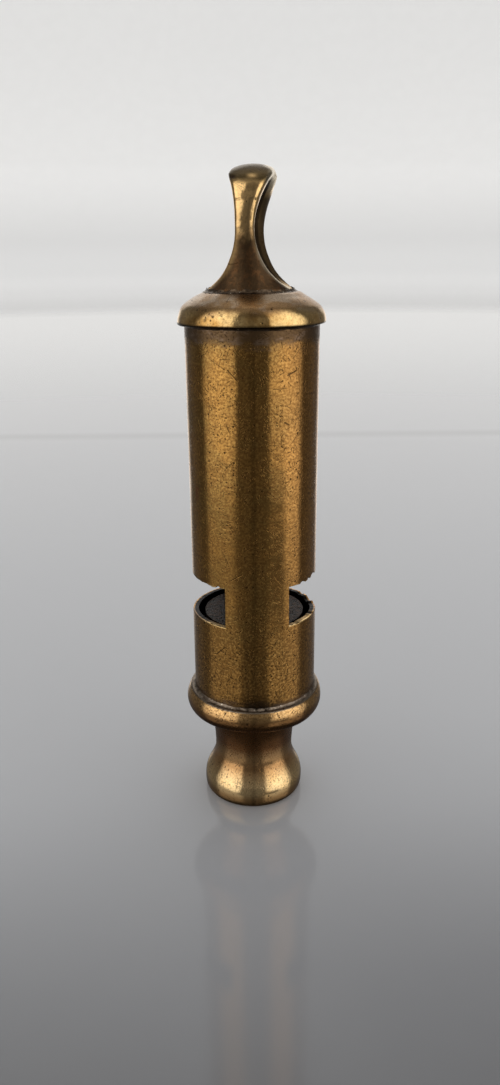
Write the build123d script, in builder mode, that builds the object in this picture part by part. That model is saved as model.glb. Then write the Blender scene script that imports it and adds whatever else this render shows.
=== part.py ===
from build123d import *
import math
import os

# Two-chamber brass whistle, standing on its mouth end.
# Millimetres. Origin: centre of the flat mouth end. +Z runs up the tube to the loop.
# -Y is the front, where one bridge between the two windows is; the windows face -X and +X.

os.makedirs("parts", exist_ok=True)

# ---------------------------------------------------------------- driving dimensions
tube_radius = 8.0
tube_wall = 0.7
tube_inner = tube_radius - tube_wall

collar_top = 16.0
sill_height = 27.2
lip_height = 32.4
cap_underside = 63.4
loop_seat = 66.9
loop_top = 80.55

bridge_half_angle = 29.7
bridge_turn = 2.8

bore_radius = 3.0
solder_gap = 0.03


# The two window openings in plan: wedges from the axis, each from bridge to bridge.
window_half_angle = 90 - bridge_half_angle
window_reach = 2 * tube_radius

with BuildSketch() as window_plan:
    for middle in (bridge_turn, 180 + bridge_turn):
        with BuildLine():
            near = PolarLine((0, 0), window_reach, middle - window_half_angle)
            far = PolarLine((0, 0), window_reach, middle + window_half_angle)
            RadiusArc(near @ 1, far @ 1, -window_reach)
        make_face()

# ---------------------------------------------------------------- body tube
# Drawn tube. Each window is a slot with a flat sill and a flat lip, cut from bridge to bridge.
tube_foot = 14.5

with BuildPart() as body_tube:
    with BuildSketch(Plane.XY.offset(tube_foot)):
        Circle(tube_radius)
        Circle(tube_inner, mode=Mode.SUBTRACT)
    extrude(amount=cap_underside - tube_foot)
    with BuildSketch(Plane.XY.offset(sill_height)):
        add(window_plan.sketch)
    extrude(amount=lip_height - sill_height, mode=Mode.SUBTRACT)

body_tube.part.label = "body_tube"
export_step(body_tube.part, "parts/body_tube.step")

# ---------------------------------------------------------------- mouthpiece
# Turned in one piece: a spigot that fills the tube's end, the collar bead with a ledge on top,
# a waisted neck and a bulb that ends in the flat, bored mouth end.
spigot_radius = tube_inner - solder_gap
spigot_bore = 6.3
spigot_top = 18.5
plenum_foot = 10.9
seat_radius = tube_radius + solder_gap

ledge_radius = 8.6
bead_radius = 9.1
bead_height = 14.3
bead_foot = 12.65

neck_radius = 5.33
neck_height = 7.2
neck_flare = 15.0
neck_curve = 7.8

bulb_radius = 6.74
bulb_height = 1.6
mouth_corner = 1.0
mouth_flat_radius = bulb_radius - mouth_corner
mouth_chamfer = 0.3

# The bulb's upper arc is the one that leaves the bulb's widest circle straight up and runs
# tangent into the neck's arc.
neck_axis = neck_radius + neck_curve
rise = neck_height - bulb_height
run = neck_axis - bulb_radius
bulb_curve = (run**2 + rise**2 - neck_curve**2) / (2 * (neck_curve - run))
turn = math.degrees(math.atan2(rise, run + bulb_curve))

with BuildPart() as mouthpiece:
    with BuildSketch(Plane.XZ):
        with BuildLine():
            rounding = EllipticalCenterArc(
                (mouth_flat_radius, bulb_height), mouth_corner, bulb_height, -90, arc_size=90
            )
            bulb = JernArc(rounding @ 1, (0, 1), bulb_curve, turn)
            waist = JernArc(bulb @ 1, bulb % 1, neck_curve, -turn)
            flare_turn = math.degrees(math.asin((bead_foot - neck_height) / neck_flare))
            flare = JernArc(waist @ 1, (0, 1), neck_flare, -flare_turn)
            bead_low = JernArc(
                (bead_radius, bead_height), (0, -1), bead_height - bead_foot, -90
            )
            Line(flare @ 1, bead_low @ 1)
            bead_high = TangentArc(
                (bead_radius, bead_height), (ledge_radius, collar_top), tangent=(0, 1)
            )
            Polyline(
                bead_high @ 1,
                (seat_radius, collar_top),
                (seat_radius, tube_foot),
                (spigot_radius, tube_foot),
                (spigot_radius, spigot_top),
                (spigot_bore, spigot_top),
                (spigot_bore, plenum_foot + spigot_bore - bore_radius),
                (bore_radius, plenum_foot),
                (bore_radius, mouth_chamfer),
                (bore_radius + mouth_chamfer, 0),
                rounding @ 0,
            )
        make_face()
    revolve(axis=Axis.Z)

mouthpiece.part.label = "mouthpiece"
export_step(mouthpiece.part, "parts/mouthpiece.step")

# ---------------------------------------------------------------- windway plug
# Disc that stands a little below the sills. Its rim leaves a curved windway under each window,
# and its two lugs are soldered to the tube behind the bridges.
plug_radius = 6.44
plug_top = sill_height - 0.45
plug_height = 3.5

with BuildPart() as windway_plug:
    with BuildSketch(Plane.XY.offset(plug_top - plug_height)):
        Circle(plug_radius)
    extrude(amount=plug_height)
    with BuildSketch(Plane.XY.offset(plug_top - plug_height)):
        Circle(spigot_radius)
        add(window_plan.sketch, mode=Mode.SUBTRACT)
    extrude(amount=plug_height)

windway_plug.part.label = "windway_plug"
export_step(windway_plug.part, "parts/windway_plug.step")

# ---------------------------------------------------------------- chamber divider and stop
# Flat plate from the plug to the cap, edge-on behind the bridges, that makes two half-round
# chambers, and the half disc that ends the right-hand chamber early for the higher note.
divider_thickness = 0.6
cap_spigot_foot = 61.5
stop_height = 58.3
stop_thickness = 0.8

bridge_direction = Vector(1, 0, 0).rotate(Axis.Z, bridge_turn)
divider_face = Plane(origin=(0, 0, 0), z_dir=bridge_direction).offset(divider_thickness / 2)

with BuildPart() as chamber_divider:
    with BuildSketch(Plane.XY.offset(plug_top)):
        Rectangle(divider_thickness, 2 * spigot_radius, rotation=bridge_turn)
    extrude(amount=cap_spigot_foot - plug_top)

chamber_divider.part.label = "chamber_divider"
export_step(chamber_divider.part, "parts/chamber_divider.step")

with BuildPart() as chamber_stop:
    with BuildSketch(Plane.XY.offset(stop_height)):
        Circle(spigot_radius)
    extrude(amount=stop_thickness)
    split(bisect_by=divider_face, keep=Keep.TOP)

chamber_stop.part.label = "chamber_stop"
export_step(chamber_stop.part, "parts/chamber_stop.step")

# ---------------------------------------------------------------- end cap
# Turned cap: spigot in the tube, thin overhanging rim, dome, flat seat for the loop's foot,
# and a countersunk hole for the loop's riveted tail.
rim_radius = 8.72
rim_widest = 8.76
rim_widest_height = cap_underside + 0.4
dome_shoulder_radius = 8.0
dome_shoulder_height = 65.5
rim_curve = 0.6
shoulder_curve = 2.8
dome_curve = 9.0
seat_edge_radius = 5.5
tail_radius = 1.5
rivet_radius = 2.3
rivet_depth = rivet_radius - tail_radius

with BuildPart() as end_cap:
    with BuildSketch(Plane.XZ):
        with BuildLine():
            rim = RadiusArc(
                (rim_radius, cap_underside), (rim_widest, rim_widest_height), -rim_curve
            )
            shoulder = RadiusArc(
                rim @ 1, (dome_shoulder_radius, dome_shoulder_height), -shoulder_curve
            )
            dome = RadiusArc(shoulder @ 1, (seat_edge_radius, loop_seat), -dome_curve)
            Polyline(
                dome @ 1,
                (tail_radius + solder_gap, loop_seat),
                (tail_radius + solder_gap, cap_spigot_foot + rivet_depth),
                (rivet_radius + solder_gap, cap_spigot_foot),
                (spigot_radius, cap_spigot_foot),
                (spigot_radius, cap_underside),
                rim @ 0,
            )
        make_face()
    revolve(axis=Axis.Z)

end_cap.part.label = "end_cap"
export_step(end_cap.part, "parts/end_cap.step")

# ---------------------------------------------------------------- suspension loop
# Cast loop. Its blank is a turned form: an arched crown on a waisted stem that spreads into a
# round foot. Two dished faces cut it to a slab, an oval eye goes through the faces, and a tail
# under the foot is riveted over in the cap's countersink.
loop_turn = 8.5
crown_radius = 4.8
crown_rise = 4.2
crown_arc = 84
crown_axis = loop_top - crown_rise * math.sin(math.radians(crown_arc))
stem_radius = 4.5
stem_height = 70.9
foot_radius = 5.12
foot_edge = 0.35
foot_flare = 58

waist_half = 1.1
waist_height = 73.9
dish_below = 6.8
dish_above = 9.8
crown_widest = 79.2

eye_half_width = 2.6
eye_half_height = 4.6
eye_height = 73.5

# flare_direction is the way the stem's side runs where it meets the foot.
# The eye looks nearly sideways: the ring lies in a plane that is turned a little from YZ.
flare_direction = (math.cos(math.radians(foot_flare)), -math.sin(math.radians(foot_flare)))
turn_cos = math.cos(math.radians(loop_turn))
turn_sin = math.sin(math.radians(loop_turn))
end_on = Plane(origin=(0, 0, 0), x_dir=(turn_cos, -turn_sin, 0), z_dir=(-turn_sin, -turn_cos, 0))
face_on = Plane(origin=(0, 0, 0), x_dir=(turn_sin, turn_cos, 0), z_dir=(turn_cos, -turn_sin, 0))

with BuildPart() as suspension_loop:
    with BuildSketch(Plane.XZ):
        with BuildLine():
            crown = EllipticalCenterArc(
                (0, crown_axis), crown_radius, crown_rise, arc_size=crown_arc
            )
            stem = Spline(
                crown @ 0,
                (stem_radius, stem_height),
                (foot_radius, loop_seat + foot_edge),
                tangents=[(0, -1), flare_direction],
            )
            Polyline(
                stem @ 1,
                (foot_radius, loop_seat),
                (0, loop_seat),
                (0, (crown @ 1).Y),
                crown @ 1,
            )
        make_face()
    revolve(axis=Axis.Z)
    with BuildSketch(end_on):
        with BuildLine() as dished_side:
            below_turn = math.degrees(math.asin((waist_height - loop_seat - foot_edge) / dish_below))
            above_turn = math.degrees(math.asin((crown_widest - waist_height) / dish_above))
            above = JernArc((waist_half, waist_height), (0, 1), dish_above, -above_turn)
            below = JernArc((waist_half, waist_height), (0, -1), dish_below, below_turn)
            Polyline(above @ 1, ((above @ 1).X, loop_top + foot_edge), (0, loop_top + foot_edge))
            Polyline(
                below @ 1,
                (foot_radius + foot_edge, loop_seat + foot_edge),
                (foot_radius + foot_edge, loop_seat),
                (0, loop_seat),
            )
            mirror(about=Plane.YZ)
        make_face()
    extrude(amount=2 * foot_radius, both=True, mode=Mode.INTERSECT)
    with BuildSketch(face_on):
        with Locations((0, eye_height)):
            Ellipse(eye_half_width, eye_half_height)
    extrude(amount=2 * foot_radius, both=True, mode=Mode.SUBTRACT)
    with BuildSketch(Plane.XZ):
        with BuildLine():
            Polyline(
                (0, cap_spigot_foot),
                (rivet_radius, cap_spigot_foot),
                (tail_radius, cap_spigot_foot + rivet_depth),
                (tail_radius, loop_seat),
                (0, loop_seat),
                close=True,
            )
        make_face()
    revolve(axis=Axis.Z)

suspension_loop.part.label = "suspension_loop"
export_step(suspension_loop.part, "parts/suspension_loop.step")

# ---------------------------------------------------------------- solder
# Three visible seams: round the loop's foot, under the cap's rim, and on the collar's ledge.
foot_solder_rise = 0.45
foot_solder_spread = 0.75
foot_solder_overlap = 0.1
rim_solder = 0.3
ledge_solder = 0.55
solder_hollow = 1.5


def corner_seam(wall_radius, height, leg, up):
    """Ring of solder with a hollow face, in the corner between a wall and a flat ledge."""
    with BuildPart() as seam:
        with BuildSketch(Plane.XZ):
            with BuildLine():
                corner = Polyline(
                    (wall_radius, height + up * leg),
                    (wall_radius, height),
                    (wall_radius + leg, height),
                )
                RadiusArc(corner @ 0, corner @ 1, up * solder_hollow * leg)
            make_face()
        revolve(axis=Axis.Z)
    return seam


with BuildPart() as loop_solder:
    with BuildSketch(Plane.XZ):
        with BuildLine():
            foot_corner = Polyline(
                (foot_radius, loop_seat + foot_solder_rise),
                (foot_radius, cap_underside),
                (foot_radius + foot_solder_spread, cap_underside),
                (foot_radius + foot_solder_spread, loop_seat - foot_solder_overlap),
                close=True,
            )
        make_face()
    revolve(axis=Axis.Z)
    add(end_cap.part, mode=Mode.SUBTRACT)
    add(suspension_loop.part, mode=Mode.SUBTRACT)

loop_solder.part.label = "loop_solder"
export_step(loop_solder.part, "parts/loop_solder.step")

cap_solder = corner_seam(tube_radius, cap_underside, rim_solder, -1)
cap_solder.part.label = "cap_solder"
export_step(cap_solder.part, "parts/cap_solder.step")

collar_solder = corner_seam(seat_radius, collar_top, ledge_solder, 1)
collar_solder.part.label = "collar_solder"
export_step(collar_solder.part, "parts/collar_solder.step")
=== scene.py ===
import math

import bpy
import numpy as np
from mathutils import Matrix, Vector, noise


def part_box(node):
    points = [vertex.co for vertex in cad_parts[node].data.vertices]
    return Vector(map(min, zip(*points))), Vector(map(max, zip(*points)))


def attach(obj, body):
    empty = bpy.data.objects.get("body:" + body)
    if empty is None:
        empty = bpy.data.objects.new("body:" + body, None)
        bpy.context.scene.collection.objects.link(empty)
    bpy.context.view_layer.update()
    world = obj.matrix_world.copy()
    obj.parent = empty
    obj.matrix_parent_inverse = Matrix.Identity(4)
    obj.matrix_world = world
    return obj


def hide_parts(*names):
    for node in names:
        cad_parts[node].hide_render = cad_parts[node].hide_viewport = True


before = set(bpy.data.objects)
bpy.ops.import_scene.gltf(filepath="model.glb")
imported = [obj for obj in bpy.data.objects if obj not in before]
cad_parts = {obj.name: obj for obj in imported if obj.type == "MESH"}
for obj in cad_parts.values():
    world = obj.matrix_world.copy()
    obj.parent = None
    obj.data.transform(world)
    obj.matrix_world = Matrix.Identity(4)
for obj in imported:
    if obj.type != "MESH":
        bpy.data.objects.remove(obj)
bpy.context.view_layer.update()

# Shapes are worked out in millimetres and stored in metres. The frame is the CAD's: the origin is
# the centre of the mouth end, +Z runs up to the loop, -Y is the front.
MM = 0.001


def corners(node):
    """A CAD node's lowest and highest corner, in millimetres."""
    low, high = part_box(node)
    return low / MM, high / MM


# ------------ sizes from the frame
tube_low, tube_high = corners("body_tube")
cap_low, cap_high = corners("end_cap")
mouth_high = corners("mouthpiece")[1]
loop_high = corners("suspension_loop")[1]
plug_high = corners("windway_plug")[1]
ledge_low = corners("collar_solder")[0]

TUBE_R = tube_high.x
WALL = 0.7
FIT_GAP = 0.03
PLUG_BELOW_SILL = 0.45
WINDOW_HEIGHT = 5.2
SILL = plug_high.z + PLUG_BELOW_SILL
LIP = SILL + WINDOW_HEIGHT
COLLAR_TOP = ledge_low.z
CAP_UNDER = tube_high.z
LOOP_SEAT = cap_high.z
LOOP_TOP = loop_high.z
BRIDGE_HALF = math.radians(29.7)
BRIDGE_TURN = math.radians(2.8)
LOOP_TURN = math.radians(8.5)
NECK_TOP = 12.4


# ------------ small helpers
def smooth(low, high, value):
    """0 below low, 1 above high, and a smooth step between; low may be above high."""
    t = np.clip((np.asarray(value, float) - low) / (high - low), 0.0, 1.0)
    return t * t * (3 - 2 * t)


def bump_at(value, centre, width):
    """A bell of height 1 at centre."""
    return np.exp(-(((np.asarray(value, float) - centre) / width) ** 2))


def wave_noise(points, size, seed, octaves=3):
    """Smooth noise from about -1 to 1 at each point, with features of about the given size."""
    shift = Vector((seed * 17.13, seed * 5.71, seed * 9.37))
    return np.array([noise.fractal(Vector(p) / size + shift, 0.6, 2.0, octaves) for p in points])


def round_points(r, angle, z):
    """Points (x, y, z) from radius, angle and height."""
    return np.stack([r * np.cos(angle), r * np.sin(angle), z], axis=1)


def arc(centre, radius, start, end, rise=None, step=0.14):
    """Points (r, z) on an arc, angles in degrees. rise is the vertical radius of an elliptical one."""
    rise = radius if rise is None else rise
    length = abs(math.radians(end - start)) * max(radius, rise)
    count = max(3, int(length / step) + 1)
    angles = np.radians(np.linspace(start, end, count))
    return np.stack([centre[0] + radius * np.cos(angles), centre[1] + rise * np.sin(angles)], axis=1)


def run(start, end, step=0.14):
    """Points (r, z) on a straight line."""
    length = math.dist(start, end)
    t = np.linspace(0, 1, max(2, int(length / step) + 1))[:, None]
    return np.array(start) * (1 - t) + np.array(end) * t


def between(start, end, radius, step=0.14):
    """Points on the short arc from start to end that bulges outwards."""
    a, b = np.array(start, float), np.array(end, float)
    half = (b - a) / 2
    side = np.array([half[1], -half[0]])
    side /= np.linalg.norm(side)
    centre = a + half - side * math.sqrt(radius**2 - half @ half)
    first = math.degrees(math.atan2(*(a - centre)[::-1]))
    last = math.degrees(math.atan2(*(b - centre)[::-1]))
    return arc(centre, radius, first, last, step=step)


def outline(*pieces, soften=2):
    """Closed outline (r, z) from runs and arcs in order, with its corners a little softened."""
    points = [pieces[0][0]]
    for piece in pieces:
        for p in piece:
            if math.dist(p, points[-1]) > 1e-6:
                points.append(p)
    if math.dist(points[0], points[-1]) < 1e-6:
        points.pop()
    points = np.array(points)
    for _ in range(soften):
        points = (np.roll(points, 1, 0) + 2 * points + np.roll(points, -1, 0)) / 4
    return points


def store(piece, name, values):
    """Keeps one number for each of a piece's vertices, for its material."""
    layer = piece.data.attributes.new(name, "FLOAT", "POINT")
    layer.data.foreach_set("value", np.asarray(values, np.float32))


def add_object(name, data):
    made = bpy.data.objects.new(name, data)
    bpy.context.scene.collection.objects.link(made)
    return made


def finish_piece(name, verts_mm, faces, node, material, sharp=40):
    """Mesh object that stands for a CAD node, rides on the root body and has the node's finish."""
    mesh = bpy.data.meshes.new(name)
    mesh.from_pydata((np.asarray(verts_mm) * MM).tolist(), [], faces)
    mesh.shade_smooth()
    mesh.set_sharp_from_angle(angle=math.radians(sharp))
    mesh.validate()
    piece = add_object(name, mesh)
    piece.data.materials.append(material)
    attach(piece, "root")
    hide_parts(node)
    return piece


def turned(name, profile, around, shape, node, material):
    """Solid turned from a closed outline; shape(angle, r, z) returns the changed r, z and x shift."""
    rows = len(profile)
    angles = np.arange(around) * 2 * math.pi / around + math.pi / 2
    grid_angle, grid_row = np.meshgrid(angles, np.arange(rows), indexing="ij")
    r = profile[grid_row, 0].ravel()
    z = profile[grid_row, 1].ravel()
    angle = grid_angle.ravel()
    r, z, shift = shape(angle, r, z)
    verts = np.stack([r * np.cos(angle) + shift, r * np.sin(angle), z], axis=1)
    a = np.arange(around * rows).reshape(around, rows)
    b = np.roll(a, -1, axis=0)
    faces = np.stack([a, b, np.roll(b, -1, axis=1), np.roll(a, -1, axis=1)], axis=-1).reshape(-1, 4)
    piece = finish_piece(name, verts, faces.tolist(), node, material)
    steps = np.linalg.norm(np.diff(profile, axis=0), axis=1)
    distance = np.concatenate([[0], np.cumsum(steps)])
    store(piece, "along", distance[grid_row.ravel()])
    return piece


# ------------ shader graphs
class Graph:
    """Short ways to build a node tree. Values may be numbers, tuples or sockets."""

    def __init__(self, tree):
        self.tree = tree
        tree.nodes.clear()

    def node(self, kind, inputs=(), **settings):
        made = self.tree.nodes.new(kind)
        for key, value in settings.items():
            setattr(made, key, value)
        for key, value in dict(inputs).items():
            self.put(made.inputs[key], value)
        return made

    def put(self, socket, value):
        if isinstance(value, bpy.types.NodeSocket):
            self.tree.links.new(value, socket)
        else:
            socket.default_value = value

    def math(self, operation, *values):
        return self.node("ShaderNodeMath", dict(enumerate(values)), operation=operation).outputs[0]

    def fold(self, operation, values):
        total = values[0]
        for value in values[1:]:
            total = self.math(operation, total, value)
        return total

    def add(self, *values):
        return self.fold("ADD", values)

    def times(self, *values):
        return self.fold("MULTIPLY", values)

    def most(self, *values):
        return self.fold("MAXIMUM", values)

    def gap(self, a, b):
        """How far apart two numbers are."""
        return self.math("ABSOLUTE", self.math("SUBTRACT", a, b))

    def less(self, value):
        """One minus the value."""
        return self.math("SUBTRACT", 1.0, value)

    def step(self, value, low, high):
        """Smooth step from 0 at low to 1 at high; low may be above high."""
        limits = (high, low, 1.0, 0.0) if low > high else (low, high, 0.0, 1.0)
        inputs = dict(zip(("From Min", "From Max", "To Min", "To Max"), limits), Value=value)
        made = self.node("ShaderNodeMapRange", inputs, interpolation_type="SMOOTHSTEP")
        return made.outputs["Result"]

    def bell(self, value, centre, width):
        """1 at centre, falling smoothly to 0 at a width on either side."""
        return self.step(self.gap(value, centre), width, 0.0)

    def mix(self, factor, a, b):
        a, b = ((*v, 1.0) if isinstance(v, tuple) else v for v in (a, b))
        return self.node("ShaderNodeMix", {0: factor, 6: a, 7: b}, data_type="RGBA").outputs[2]

    def blend(self, factor, a, b):
        """Number a where factor is 0 and b where it is 1."""
        return self.node("ShaderNodeMix", {0: factor, 2: a, 3: b}, data_type="FLOAT").outputs[0]

    def vector(self, x, y, z):
        return self.node("ShaderNodeCombineXYZ", {"X": x, "Y": y, "Z": z}).outputs[0]

    def stretch(self, vector, scale):
        return self.node("ShaderNodeMapping", {"Vector": vector, "Scale": scale}).outputs[0]

    def stored(self, name):
        """The number that store() kept with the mesh under this name."""
        return self.node("ShaderNodeAttribute", attribute_name=name).outputs["Fac"]

    def noise(self, vector, scale, detail=2.0, rough=0.5, warp=0.0):
        inputs = {"Vector": vector, "Scale": scale, "Detail": detail, "Roughness": rough}
        inputs["Distortion"] = warp
        return self.node("ShaderNodeTexNoise", inputs, noise_dimensions="3D").outputs[0]

    def cell(self, vector, scale, shift):
        """A random flat grid: offset from the nearest centre in x and y, and three random numbers."""
        moved = self.node("ShaderNodeVectorMath", {0: vector, 1: shift}, operation="ADD").outputs[0]
        made = self.node("ShaderNodeTexVoronoi", {"Vector": moved, "Scale": scale}, voronoi_dimensions="2D")
        ends = {0: moved, 1: made.outputs["Position"]}
        off = self.node("ShaderNodeVectorMath", ends, operation="SUBTRACT")
        parts = self.node("ShaderNodeSeparateXYZ", {"Vector": off.outputs[0]})
        lucky = self.node("ShaderNodeSeparateColor", {"Color": made.outputs["Color"]})
        return parts.outputs[0], parts.outputs[1], lucky.outputs

    def chosen(self, number, share):
        """1 in about this share of the cells, from a random number of each."""
        return self.step(number, 1 - share - 0.02, 1 - share + 0.02)

    def pits(self, vector, spacing, radius, share, shift=(0, 0, 0)):
        """1 in round spots of about the given radius, in a share of cells a spacing apart."""
        dx, dy, lucky = self.cell(vector, 1 / spacing, shift)
        far = self.math("SQRT", self.add(self.times(dx, dx), self.times(dy, dy)))
        size = self.blend(lucky[1], radius * 0.5, radius * 1.45)
        near = self.step(self.math("DIVIDE", far, size), 1.0, 0.35)
        return self.times(near, self.chosen(lucky[0], share))

    def strokes(self, vector, spacing, length, width, share, shift=(0, 0, 0)):
        """1 in short straight scratches that lie every way, in a share of cells a spacing apart."""
        dx, dy, lucky = self.cell(vector, 1 / spacing, shift)
        turn = self.times(lucky[1], math.pi)
        c, s = self.math("COSINE", turn), self.math("SINE", turn)
        along = self.math("ABSOLUTE", self.add(self.times(dx, c), self.times(dy, s)))
        across = self.gap(self.times(dy, c), self.times(dx, s))
        half = self.blend(lucky[2], length * 0.2, length * 0.5)
        line = self.times(
            self.step(self.math("DIVIDE", along, half), 1.0, 0.7),
            self.step(across, width * 0.5, width * 0.2),
        )
        return self.times(line, self.chosen(lucky[0], share))

    def worms(self, vector, per_mm, width):
        """1 in short crooked marks: places where a noise crosses its middle, broken up by another."""
        crossing = self.gap(self.noise(vector, per_mm, 2.0), 0.5)
        broken = self.step(self.noise(vector, per_mm * 0.8, 1.0, warp=0.4), 0.50, 0.56)
        return self.times(self.step(crossing, width, width * 0.3), broken)

    def line(self, vector, start, end, width):
        """1 in a straight scratch between two flat points."""
        off = self.node("ShaderNodeVectorMath", {0: vector, 1: (*start, 0.0)}, operation="SUBTRACT")
        x, y, _ = self.node("ShaderNodeSeparateXYZ", {"Vector": off.outputs[0]}).outputs
        length = math.dist(start, end)
        ux, uy = (end[0] - start[0]) / length, (end[1] - start[1]) / length
        along = self.add(self.times(x, ux), self.times(y, uy))
        across = self.gap(self.times(y, ux), self.times(x, uy))
        ends = self.times(self.step(along, 0.0, 0.15), self.step(along, length, length - 0.15))
        return self.times(ends, self.step(across, width * 0.6, width * 0.2))

    def end(self, shader, output="ShaderNodeOutputMaterial"):
        self.tree.links.new(shader.outputs[0], self.node(output).inputs["Surface"])


def material(name):
    made = bpy.data.materials.new(name)
    made.use_nodes = True
    return made, Graph(made.node_tree)


class Place:
    """Where a shaded point is: position in millimetres, height, radius, angle from the front."""

    def __init__(self, g):
        coords = g.node("ShaderNodeTexCoord").outputs["Object"]
        mm = g.node("ShaderNodeVectorMath", {0: coords, "Scale": 1 / MM}, operation="SCALE")
        self.point = mm.outputs[0]
        self.x, self.y, self.z = g.node("ShaderNodeSeparateXYZ", {"Vector": self.point}).outputs
        self.radius = g.math("SQRT", g.add(g.times(self.x, self.x), g.times(self.y, self.y)))
        self.angle = g.math("ARCTAN2", self.x, g.times(self.y, -1.0))

    def wrapped(self, g, along=None):
        """Flat coordinates round the axis and along the surface, in millimetres."""
        return g.vector(g.times(self.angle, TUBE_R), self.z if along is None else along, 0.0)

    def patch(self, g, degrees, height, half_degrees, half_height):
        """1 at a spot given by its angle from the front and its height, 0 outside its two widths."""
        aside = g.bell(self.angle, math.radians(degrees), math.radians(half_degrees))
        return g.times(aside, g.bell(self.z, height, half_height))


def shade(g, colour, roughness, height, metallic=1.0):
    """Ends a graph in a Principled shader. height is in millimetres."""
    bump = g.node("ShaderNodeBump", {"Strength": 1.0, "Distance": MM, "Height": height})
    inputs = {"Base Color": colour, "Roughness": roughness, "Metallic": metallic, "Normal": bump.outputs[0]}
    shader = g.node("ShaderNodeBsdfPrincipled", inputs)
    g.end(shader)


class Wear:
    """Marks that all the old brass here has. Each is 1 in the mark; relief is in millimetres."""

    def __init__(self, g, flat, point, pit_share=0.5, extra=0.0, busy=1.0):
        self.grain = g.noise(flat, 3.4, 2.0, 0.7)
        self.speckle = g.step(self.grain, 0.43, 0.62)
        self.patchy = g.step(g.noise(flat, 0.9, 3.0, 0.6), 0.38, 0.66)
        self.blotch = g.noise(point, 0.22, 4.0, 0.6)
        uneven = g.times(g.step(g.noise(point, 0.5, 2.0), 0.36, 0.62), busy)
        self.pits = g.most(
            g.times(g.pits(flat, 0.36, 0.085, pit_share), uneven),
            g.pits(flat, 1.1, 0.13, 0.35, (3.1, 7.7, 0)),
            g.times(g.pits(flat, 0.62, 0.22, 0.8, (9.4, 2.2, 0)), extra),
        )
        self.ticks = g.most(
            g.times(g.worms(flat, 1.5, 0.020), uneven),
            g.times(g.strokes(flat, 0.9, 0.8, 0.12, 0.45, (1.7, 8.3, 0)), busy),
        )
        self.scratches = g.strokes(flat, 3.2, 2.6, 0.12, 0.4, (2.9, 4.1, 0))
        self.marks = g.most(
            g.times(self.pits, 0.9), g.times(self.ticks, 0.66), g.times(self.scratches, 0.65)
        )
        self.relief = g.add(
            g.times(self.grain, 0.0045),
            g.times(self.pits, -0.011),
            g.times(self.ticks, -0.007),
            g.times(self.scratches, -0.008),
            g.times(g.noise(flat, 0.55, 2.0), 0.014),
        )


# Metal colours, from clean brass to soot. Some also serve as painted shade, painted highlights and a
# painted reflection.
POLISHED = (0.98, 0.64, 0.28)
BRIGHT = (0.95, 0.65, 0.28)
PAINTED_REFLECTION = (0.90, 0.76, 0.54)
FLECK = (0.80, 0.45, 0.14)
GOLD = (0.58, 0.305, 0.078)
RED_GOLD = (0.60, 0.295, 0.092)
DULL_GOLD = (0.50, 0.265, 0.072)
OLIVE = (0.44, 0.26, 0.075)
RUST = (0.40, 0.165, 0.045)
RED_STAIN = (0.34, 0.09, 0.03)
BROWN = (0.30, 0.145, 0.040)
FADED = (0.24, 0.17, 0.125)
UMBER = (0.125, 0.078, 0.044)
PIT = (0.060, 0.030, 0.013)
SOOT = (0.050, 0.027, 0.015)
DARK = (0.025, 0.017, 0.011)
INSIDE_SHADE = (0.011, 0.008, 0.006)
DOME_PALE, DOME_BROWN = (0.54, 0.41, 0.295), (0.37, 0.215, 0.10)
CROWN_PATINA, STEM_CRUST = (0.105, 0.072, 0.030), (0.115, 0.050, 0.021)
BULB_GOLD, BULB_SHADE_BROWN = (1.0, 0.72, 0.37), (0.32, 0.155, 0.050)
BEAD_GOLD, BEAD_SHADE_BROWN = (0.72, 0.42, 0.165), (0.25, 0.112, 0.038)
NECK_BROWN, LEDGE_GREY = (0.20, 0.084, 0.031), (0.24, 0.195, 0.15)
SOLDER_DARK, SOLDER_PALE = (0.15, 0.11, 0.08), (0.34, 0.27, 0.205)
SOLDER_BROWN, SOLDER_BRIGHT = (0.115, 0.076, 0.046), (0.75, 0.68, 0.55)
PLUG_BLACK, PLUG_BROWN = (0.008, 0.0038, 0.002), (0.082, 0.041, 0.020)
INSIDE_DARK, INSIDE_DULL = (0.06, 0.042, 0.025), (0.17, 0.12, 0.06)

# Scratches on the tube: start and end, as distance round from the front and height, and width.
SCRATCHES = (
    ((-5.84, 23.25), (-5.2, 23.2), 0.14),
    ((-5.25, 23.2), (-3.7, 24.6), 0.14),
    ((4.0, 58.1), (5.4, 58.6), 0.18),
    ((3.6, 52.9), (4.4, 52.5), 0.22),
    ((-2.9, 58.9), (-1.6, 57.6), 0.10),
    ((-3.1, 33.5), (-1.4, 34.6), 0.12),
)


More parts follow.
